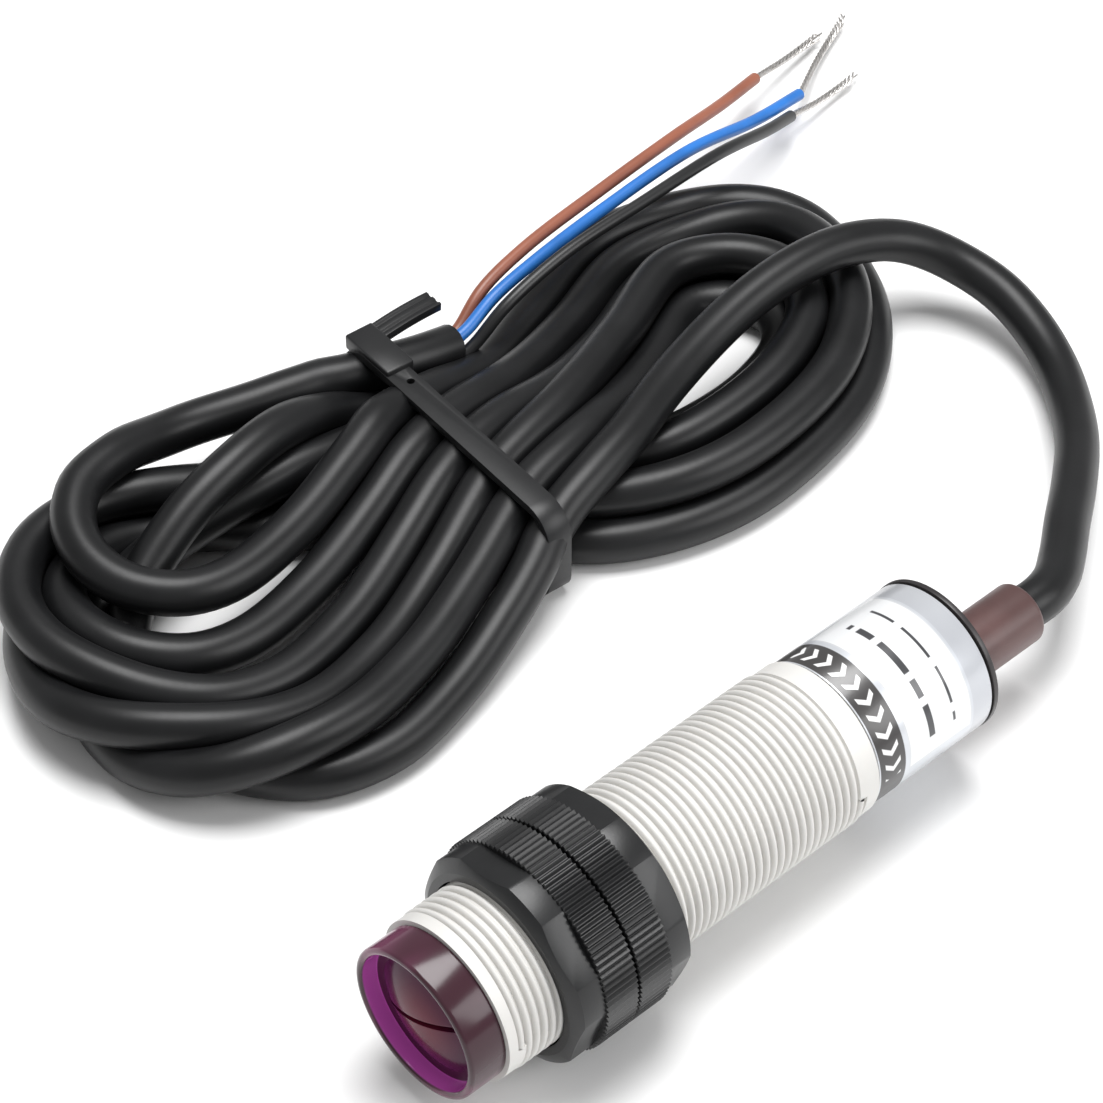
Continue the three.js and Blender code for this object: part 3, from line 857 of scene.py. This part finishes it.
lens = {
    "rim": 7.45, "recess": 1.9, "round": 0.4, "radius": 6.3, "rise": 1.3, "split": 0.6, "turn": -27,
    "sides": 128,
}


def lensShade():
    shade = Shade("smokedLens", (0.12, 0.02, 0.09), 0.14, Specular_IOR_Level=0.12, Coat_Roughness=0.16)
    across, along, up, _ = shade.aroundAxis()
    radial = (across * across + up * up).maths("SQRT")
    inside = 1 - shade.ramp(radial, 7.3 * mm, 7.5 * mm)
    wall = shade.ramp(radial, 7.2 * mm, 7.4 * mm) * (1 - shade.ramp(radial, 7.5 * mm, 7.6 * mm))
    deep = shade.ramp(along, 0.15 * mm, 0.35 * mm)
    # painted light and painted glow: the clear wall is coloured brighter and made to glow, strongest
    # low on the side away from the light
    paintedLightSide = shade.ramp(across * -0.6 + up * -0.8, -6 * mm, 5 * mm)
    # painted highlights: pale pinkish spots scattered over the dark outer wall
    paintedHighlightPatches = shade.ramp(shade.noise(1, 2, shade.stretched((110, 25, 110))), 0.46, 0.68)
    outer = shade.mix(paintedHighlightPatches, (0.045, 0.016, 0.024), (0.17, 0.05, 0.1))
    floor = shade.mix(shade.ramp(radial, 1 * mm, 6 * mm), (0.12, 0.012, 0.03), (0.06, 0.009, 0.035))
    paintedLitWall = shade.mix(paintedLightSide, (0.1, 0.01, 0.07), (0.36, 0.06, 0.3))
    color = shade.mix(inside, outer, floor)
    color = shade.mix(wall * deep, color, paintedLitWall)
    shade.set("Base Color", color)
    # painted glow: the wall's side away from the light emits, though it is no lamp
    shade.set("Emission Color", shade.mix(wall * deep * paintedLightSide, (0, 0, 0), (0.42, 0.07, 0.36)))
    shade.set("Emission Strength", 0.2)
    shade.set("Coat Weight", 0.5 * (1 - inside))
    shade.set("Roughness", 0.12 + 0.12 * shade.noise(600, 3))
    shade.bump(shade.noise(500, 2), 0.01 * mm)
    return shade


def halfLens(name, side):
    rise, radius = lens["rise"] * mm, lens["radius"] * mm
    ball = (radius ** 2 + rise ** 2) / (2 * rise)
    clearSelection()
    bpy.ops.mesh.primitive_uv_sphere_add(segments=96, ring_count=192, radius=ball,
                                         location=(0, 0, lens["recess"] * mm + ball - rise))
    piece = added(name)
    applyPlace(piece)
    useOnly(piece)
    bpy.ops.object.mode_set(mode="EDIT")
    for place, normal in (((0, 0, (lens["recess"] + 0.02) * mm), (0, 0, 1)),
                          ((0, side * lens["split"] / 2 * mm, 0), (0, -side, 0))):
        bpy.ops.mesh.select_all(action="SELECT")
        bpy.ops.mesh.bisect(plane_co=place, plane_no=normal, use_fill=True, clear_outer=True,
                            threshold=1e-7)
    backToObject()
    bevelled(piece, 0.12 * mm, 2, 35)
    return piece


def makeLensCap():
    radius, length = (capHigh[0] - capLow[0]) / 2, barrelLow[1] - rimPlace - 0.05 * mm
    piece = cylinder("lens_cover", radius, 0, length, lens["sides"])
    pick(piece, lambda centre, normal: normal.z < -0.9)
    bpy.ops.mesh.inset(thickness=radius - lens["rim"] * mm)
    bpy.ops.mesh.extrude_region_move(TRANSFORM_OT_translate={"value": (0, 0, lens["recess"] * mm)})
    pick(piece, lambda a, b: max(a.z, b.z) < 1e-6 and min(a.xy.length, b.xy.length) > 7 * mm
         and abs(a.xy.length - b.xy.length) < 1e-5, "EDGE")
    bpy.ops.mesh.bevel(offset=lens["round"] * mm, segments=4, affect="EDGES")
    backToObject()
    piece = joined(piece, halfLens("lens_a", 1), halfLens("lens_b", -1))
    piece.rotation_euler = (0, 0, math.radians(lens["turn"]))
    applyPlace(piece)
    layAlongSensor(piece)
    smoothShade(piece, 35)
    dress(piece, lensShade())
    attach(piece, "sensor_body")
    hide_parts("lens_cap")
    return piece


makeLensCap()

# Label sleeve, printed with a dark band, plain bars and a thin outline

label = {"thick": 0.15, "bandStart": 0.15, "bandEnd": 3.65, "sides": 144}


def labelShade():
    shade = Shade("labelFilm", (0.78, 0.79, 0.81), 0.3, 0.25, Coat_Weight=0.4, Coat_Roughness=0.15)
    _, along, _, angle = shade.aroundAxis()
    place = (along - (labelLow[1] - rimPlace)) / mm
    turn = angle * (180 / math.pi)
    edge = 0.05
    band = place.between(label["bandStart"], label["bandEnd"], edge)
    # pale chevrons in the band, a plain repeating ornament
    slant = (place - 1.9).maths("ABSOLUTE") * 5.0
    wave = ((turn + slant) / 13.0).maths("FRACT")
    chevrons = wave.between(0.3, 0.62, 0.04) * place.between(0.85, 2.95, edge)
    chevrons = chevrons * turn.between(-38.0, 92.0, 0.6)
    # paler field with a fine outline
    field = place.between(4.3, 13.1, edge) * turn.between(-44.0, 96.0, 0.5)
    inner = place.between(4.42, 12.98, edge) * turn.between(-43.0, 95.0, 0.5)
    outline = field * (1 - inner)
    wide = (turn / 53.0).maths("FRACT")
    narrow = (turn / 35.0).maths("FRACT")
    bars = wide.between(0.05, 0.58, 0.01) + wide.between(0.68, 0.94, 0.01)
    heavy = place.between(7.1, 7.9, edge) * bars
    light = place.between(10.5, 10.85, edge) * narrow.between(0.08, 0.88, 0.01)
    marks = (heavy + light) * turn.between(-26.0, 80.0, 0.5)
    film = shade.noise(90, 3)
    silver = shade.mix(shade.ramp(film, 0.35, 0.65), (0.55, 0.57, 0.61), (0.66, 0.68, 0.71))
    color = shade.mix(field, silver, (0.78, 0.79, 0.8))
    color = shade.mix(outline * 0.55, color, (0.45, 0.46, 0.48))
    color = shade.mix(place.between(13.4, 16.2, edge) * 0.5, color, (0.42, 0.43, 0.46))
    color = shade.mix(marks, color, (0.05, 0.05, 0.055))
    bandColor = shade.mix(chevrons, (0.045, 0.042, 0.042), (0.85, 0.85, 0.85))
    color = shade.mix(band, color, bandColor)
    shade.set("Base Color", color)
    shade.set("Metallic", 0.35 * (1 - band) * (1 - field * 0.6))
    shade.set("Roughness", 0.26 + 0.1 * film)
    shade.bump(film + (marks + band) * 0.2, 0.006 * mm)
    return shade


def makeLabel():
    start, end = labelLow[1] - rimPlace, labelHigh[1] - rimPlace
    radius = (labelHigh[0] - labelLow[0]) / 2
    piece = cylinder("label_sleeve", radius, start, end, label["sides"], "NOTHING")
    addModifier(piece, "SOLIDIFY", thickness=label["thick"] * mm, offset=-1)
    tidyMesh(piece)
    bevelled(piece, 0.05 * mm, 2, 40)
    layAlongSensor(piece)
    smoothShade(piece)
    dress(piece, labelShade())
    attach(piece, "sensor_body")
    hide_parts("label")


makeLabel()

# Rear cap

rearCap = {
    "flange": 0.6, "radius": 8.62, "edge": 0.11, "inset": 1.1, "dish": 0.15, "spigotPlay": 0.15,
    "holePlay": 0.08, "collarPlay": 1.1,
}


def makeRearCap():
    low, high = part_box("rear_cap")
    end = high[1] - rimPlace
    piece = cylinder("rear_cover", rearCap["radius"] * mm, end - rearCap["flange"] * mm, end, 128)
    pick(piece, lambda centre, normal: normal.z > 0.9)
    bpy.ops.mesh.inset(thickness=rearCap["inset"] * mm)
    bpy.ops.mesh.extrude_region_move(
        TRANSFORM_OT_translate={"value": (0, 0, -rearCap["dish"] * mm)})
    backToObject()
    bevelled(piece, rearCap["edge"] * mm, 3, 40)
    hole = cylinder("rear_hole", (boot["radius"] + rearCap["holePlay"]) * mm, end - 5 * mm,
                    end + 5 * mm, 64)
    hole.location = (bootX, -(bootZ - axisHeight), 0)
    applyPlace(hole)
    boolean(piece, hole, "DIFFERENCE")
    spigot = cylinder("rear_spigot", (barrel["bore"] - rearCap["spigotPlay"]) * mm, low[1] - rimPlace,
                      end - rearCap["flange"] * mm, 96)
    other = cylinder("rear_hole2", (boot["radius"] + rearCap["collarPlay"]) * mm, 0, end + 5 * mm, 64)
    other.location = (bootX, -(bootZ - axisHeight), 0)
    applyPlace(other)
    boolean(spigot, other, "DIFFERENCE")
    piece = joined(piece, spigot)
    layAlongSensor(piece)
    smoothShade(piece)
    dress(piece, moulded("rearRim", (0.022, 0.019, 0.02), 0.34, grain=900, mottle=0.2))
    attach(piece, "sensor_body")
    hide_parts("rear_cap")


makeRearCap()

# Inner parts keep their solids and get their own finishes

inner = {
    "front_seal": ("sealRubber", (0.02, 0.02, 0.02), 0.7),
    "optics_holder": ("holderBlack", (0.025, 0.025, 0.027), 0.5),
    "emitter_led": ("emitterRed", (0.45, 0.04, 0.05), 0.15),
    "receiver_diode": ("receiverDark", (0.02, 0.015, 0.03), 0.15),
    "signal_chip": ("chipBlack", (0.02, 0.02, 0.022), 0.55),
    "output_transistor": ("chipBlack", (0.02, 0.02, 0.022), 0.55),
    "filter_capacitor": ("ceramicTan", (0.42, 0.3, 0.17), 0.4),
    "indicator_led": ("emitterRed", (0.45, 0.04, 0.05), 0.15),
    "resistor_1": ("chipBlack", (0.02, 0.02, 0.022), 0.55),
    "resistor_2": ("chipBlack", (0.02, 0.02, 0.022), 0.55),
    "resistor_3": ("chipBlack", (0.02, 0.02, 0.022), 0.55),
    "potting_plug": ("castResin", (0.12, 0.1, 0.08), 0.25),
}


def dressInner():
    made = {}
    for node, (name, color, roughness) in inner.items():
        if name not in made:
            made[name] = moulded(name, color, roughness)
        dressNode(node, made[name])
    dressNode("inner_cable", jacketShade)
    for name in cores:
        dressNode(f"{name}_pigtail", moulded(f"{name}Pigtail", cores[name]["color"], 0.36))
    board = moulded("boardGreen", (0.02, 0.14, 0.06), 0.3, mottle=0.2)
    dressNode("circuit_board", board)


dressInner()

# Floor and light

studio = {
    "floor": (0.9, 0.9, 0.9), "world": 0.38,
    "top": {"place": (-0.12, 0.12, 0.8), "target": (-0.03, 0.02, 0), "size": 0.45, "power": 7.4},
    "side": {"place": (0.44, 0.26, 0.31), "target": (0, -0.02, 0.01), "size": 0.34, "power": 1.7},
}


def areaLight(name, place, target, size, power):
    data = bpy.data.lights.new(name, "AREA")
    data.shape = "RECTANGLE"
    data.size = data.size_y = size
    data.energy = power
    lamp = bpy.data.objects.new(name, data)
    bpy.context.scene.collection.objects.link(lamp)
    lamp.location = place
    lamp.rotation_euler = (Vector(target) - Vector(place)).to_track_quat("-Z", "Y").to_euler()


def makeStudio():
    clearSelection()
    bpy.ops.mesh.primitive_plane_add(size=6, location=(0, 0, 0))
    floor = added("floor")
    shade = Shade("floorPaper", studio["floor"], 0.85)
    dress(floor, shade)
    world = bpy.data.worlds.new("studio")
    world.use_nodes = True
    world.node_tree.nodes["Background"].inputs["Color"].default_value = (1, 1, 1, 1)
    world.node_tree.nodes["Background"].inputs["Strength"].default_value = studio["world"]
    bpy.context.scene.world = world
    bpy.context.scene.view_settings.view_transform = "Standard"
    for name in ("top", "side"):
        areaLight(name, **studio[name])


makeStudio()
